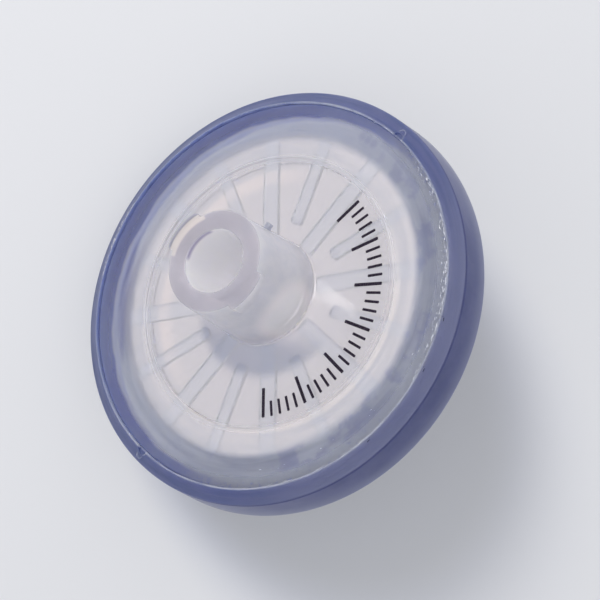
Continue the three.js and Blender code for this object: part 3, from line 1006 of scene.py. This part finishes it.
def flash(radius, height, degrees):
    """Makes the inner edges of the ring uneven, where its plastic ran out over the plates."""
    if radius > RING_BORE_RADIUS + FLASH_WIDTH or CAP_RIM_TOP > height > BASE_RIM_BOTTOM:
        return radius, height
    around = polar(FLASH_WAVES, degrees, 0)
    ragged = noise.noise(around) * FLASH_COARSE + noise.noise(around * 4) * FLASH_FINE
    return radius + max(0, ragged), height


def gate_hollow(degrees):
    """The round nick where the ring's plastic was let into its mould."""
    bm = bmesh.new()
    sizes = {"radius1": GATE_RADIUS - GATE_TAPER, "radius2": GATE_RADIUS, "depth": GATE_DEPTH * 2}
    bmesh.ops.create_cone(bm, cap_ends=True, segments=GATE_STEPS, **sizes)
    bmesh.ops.translate(bm, verts=bm.verts, vec=(RING_BORE_RADIUS, 0, RING_TOP))
    return spun(new_object("gate_hollow", bm), degrees)


def gate_curl(degrees):
    """The small curl of plastic left standing outside a gate's nick."""
    middle = Vector((RING_BORE_RADIUS + CURL_OUT, 0, CURL_LEVEL))
    bm = bmesh.new()
    sections = []
    for i in range(CURL_STEPS):
        along = math.radians(-CURL_SWEEP / 2 + CURL_SWEEP * i / (CURL_STEPS - 1))
        thick = CURL_THICKNESS * math.sin(math.pi * (i + 0.6) / (CURL_STEPS + 0.2))
        outward = Vector((math.cos(along), math.sin(along), 0))
        centre = middle + outward * CURL_RADIUS
        turns = [math.radians(360 / CURL_SIDES * j) for j in range(CURL_SIDES)]
        section = [centre + (outward * math.cos(t) + Vector((0, 0, math.sin(t)))) * thick for t in turns]
        sections.append([bm.verts.new(point) for point in section])
    for one, following in zip(sections, sections[1:]):
        for j in range(CURL_SIDES):
            bm.faces.new((one[j - 1], one[j], following[j], following[j - 1]))
    bm.faces.new(sections[0])
    bm.faces.new(sections[-1])
    return spun(new_object("gate_curl", bm), degrees)


def make_ring(plastic):
    """The ring that clasps both rims, with a groove round it, and a nick and a curl at each gate."""
    corners = [
        (RING_BORE_RADIUS, RING_BOTTOM, 0.12),
        (RING_RADIUS, RING_BOTTOM + RING_SHOULDER, 0.14),
        (RING_RADIUS - RING_DRAFT, PARTING - GROOVE_HALF_WIDTH, 0.03),
        (RING_RADIUS - RING_DRAFT - GROOVE_DEPTH, PARTING),
        (RING_RADIUS - RING_DRAFT, PARTING + GROOVE_HALF_WIDTH, 0.1),
        (RING_BORE_RADIUS, RING_INNER_EDGE, 0.06),
        (RING_BORE_RADIUS, CAP_RIM_TOP + HAIR),
        (RIM_RADIUS + HAIR, CAP_RIM_TOP + HAIR),
        (RIM_RADIUS + HAIR, BASE_RIM_BOTTOM - HAIR),
        (RING_BORE_RADIUS, BASE_RIM_BOTTOM - HAIR),
    ]
    piece = turned("ring", corners, flash)
    combined(piece, [gate_hollow(angle) for angle in GATE_ANGLES], "DIFFERENCE")
    combined(piece, [gate_curl(angle) for angle in GATE_ANGLES], "UNION")
    finish_piece(piece, plastic, "outer_ring")


# Specks of torn flash, partly painted glints: their count, first angle, sweep, radius, spread, level and size
SPECKS = (
    (60, -62, 74, RING_BORE_RADIUS - 0.02, 0.14, RING_TOP - 0.12, 0.065),
    (150, 12, 50, RING_BORE_RADIUS - 0.04, 0.14, RING_TOP - 0.12, 0.075),
    (110, 8, 60, RING_BORE_RADIUS - 0.3, 0.25, CAP_TOP, 0.07),
    (26, -60, 70, RING_BORE_RADIUS - 0.7, 0.9, CAP_TOP, 0.055),
    (60, 178, 26, RING_BORE_RADIUS + 0.1, 0.05, RING_TOP - 0.09, 0.07),
    (46, 180, 20, RING_BORE_RADIUS + 0.3, 0.05, RING_TOP - 0.23, 0.07),
    (80, 30, 150, RING_BORE_RADIUS, 0.06, RING_TOP - 0.06, 0.035),
)
SPECK_SEED = 90  # added to each arc's first angle

# Dark specks of painted shade in the nicks: their count, first angle and sweep, and what all of them share
NICKS = ((34, 3.6, 4.5), (16, 18.0, 3.0), (12, -20.0, 3.0))
EVERY_NICK = {"Radius": RING_BORE_RADIUS + 0.16, "Spread": 0.1, "Level": RING_TOP - 0.21, "Size": 0.12}
NICK_SEED = 7


def make_flash(white, dark):
    """The specks of torn flash along the ring's inner edge, partly painted glints, and the dark specks of
    painted shade in the nicks between them.
    """
    tree = specks_tree("specks_along_an_arc")
    piece = new_object("flash_and_glint_specks", bmesh.new())
    for count, start, sweep, radius, spread, level, size in SPECKS:
        values = {"Count": count, "From": start, "Sweep": sweep, "Radius": radius, "Spread": spread}
        values |= {"Seed": start + SPECK_SEED, "Level": level, "Size": size}
        add_tree(piece, tree, Material=white, **values)
    apply_modifiers(piece)
    finish_piece(piece, white, None)
    nicks = new_object("flash_nick_shadows", bmesh.new())
    for count, start, sweep in NICKS:
        values = {"Count": count, "From": start, "Sweep": sweep, **EVERY_NICK}
        add_tree(nicks, tree, Seed=NICK_SEED, Material=dark, **values)
    apply_modifiers(nicks)
    finish_piece(nicks, dark, None)


def make_marks(ink):
    """A plain printed scale on the cap's face: fine strokes, every fifth one long."""
    piece = new_object("printed_marks", bmesh.new())
    tree = bars_tree("strokes_on_the_face", None)
    common = {"Pitch": MARK_PITCH * MARKS_A_GROUP, "End": MARK_OUTER_RADIUS, "Corner": MARK_CORNER}
    common |= {"Low": CAP_FACE, "High": CAP_FACE + INK_THICKNESS, "Material": ink}
    add_tree(piece, tree, Count=MARK_GROUPS + 1, Phase=MARK_PHASE, **LONG_MARK, **common)
    for step in range(1, MARKS_A_GROUP):
        phase = MARK_PHASE + MARK_PITCH * step
        add_tree(piece, tree, Count=MARK_GROUPS, Phase=phase, **SHORT_MARK, **common)
    apply_modifiers(piece)
    piece.visible_shadow = False
    finish_piece(piece, ink, None)


# Stage

CAMERA_HEIGHT = 125.096
CAMERA_TURN = math.radians(31.34)
CAMERA_PLACE = (1.3277, 0.7176)
CAMERA_LENS = 101.94
SENSOR = 36
CLIP_START = 0.001  # in metres, as the floor's size is
FLOOR_HALF_SIZE = 1.5
KEY_PLACE = (-120, 230, 310)  # along the picture's right and up, and above the floor
KEY_SIZE = 120
KEY_POWER = 0.86
KEY_COLOUR = (1, 0.98, 0.95)
SKY_COLOUR = (0.96, 0.97, 1, 1)
SKY_STRENGTH = 0.68


def in_view(right, up, height):
    """A place given along the picture's own right and up, in millimetres, as a point of the frame."""
    x = right * math.cos(CAMERA_TURN) - up * math.sin(CAMERA_TURN)
    y = right * math.sin(CAMERA_TURN) + up * math.cos(CAMERA_TURN)
    return Vector((x, y, height)) * MM


def add_camera():
    """A camera straight above, turned so that the picture's up is the way the filter points."""
    data = bpy.data.cameras.new("camera")
    data.lens = CAMERA_LENS
    data.sensor_width = SENSOR
    data.clip_start = CLIP_START
    camera = bpy.data.objects.new("camera", data)
    camera.location = Vector((*CAMERA_PLACE, CAMERA_HEIGHT)) * MM
    camera.rotation_euler = (0, 0, CAMERA_TURN)
    bpy.context.scene.collection.objects.link(camera)
    bpy.context.scene.camera = camera


def add_lamp(name, place, size, power, colour):
    data = bpy.data.lights.new(name, "AREA")
    data.shape = "DISK"
    data.size = size * MM
    data.energy = power
    data.color = colour
    lamp = bpy.data.objects.new(name, data)
    lamp.location = place
    lamp.rotation_euler = (-place).to_track_quat("-Z", "Y").to_euler()
    bpy.context.scene.collection.objects.link(lamp)


def add_floor():
    bm = bmesh.new()
    bmesh.ops.create_grid(bm, x_segments=1, y_segments=1, size=FLOOR_HALF_SIZE)
    floor = new_object("floor", bm)
    floor.data.materials.append(material("pale_floor", floor_surface))


def add_light():
    """A pale sky, and one lamp up and to the left that casts the soft shadows."""
    world = bpy.data.worlds.new("studio")
    world.use_nodes = True
    background = world.node_tree.nodes["Background"]
    background.inputs["Color"].default_value = SKY_COLOUR
    background.inputs["Strength"].default_value = SKY_STRENGTH
    bpy.context.scene.world = world
    add_lamp("key", in_view(*KEY_PLACE), KEY_SIZE, KEY_POWER, KEY_COLOUR)


def main():
    housing = material("housing_plastic", housing_surface)
    make_inlet_cap(housing)
    make_media(material("filter_white", media_surface))
    make_outlet_base(housing)
    make_ring(material("ring_plastic", ring_surface))
    make_flash(material("torn_flash_and_glints", flash_and_glint_surface), material("nick_shadow", nick_shade_surface))
    make_marks(material("ink", ink_surface))
    add_camera()
    add_floor()
    add_light()
    bpy.context.scene.view_settings.view_transform = "Standard"


main()
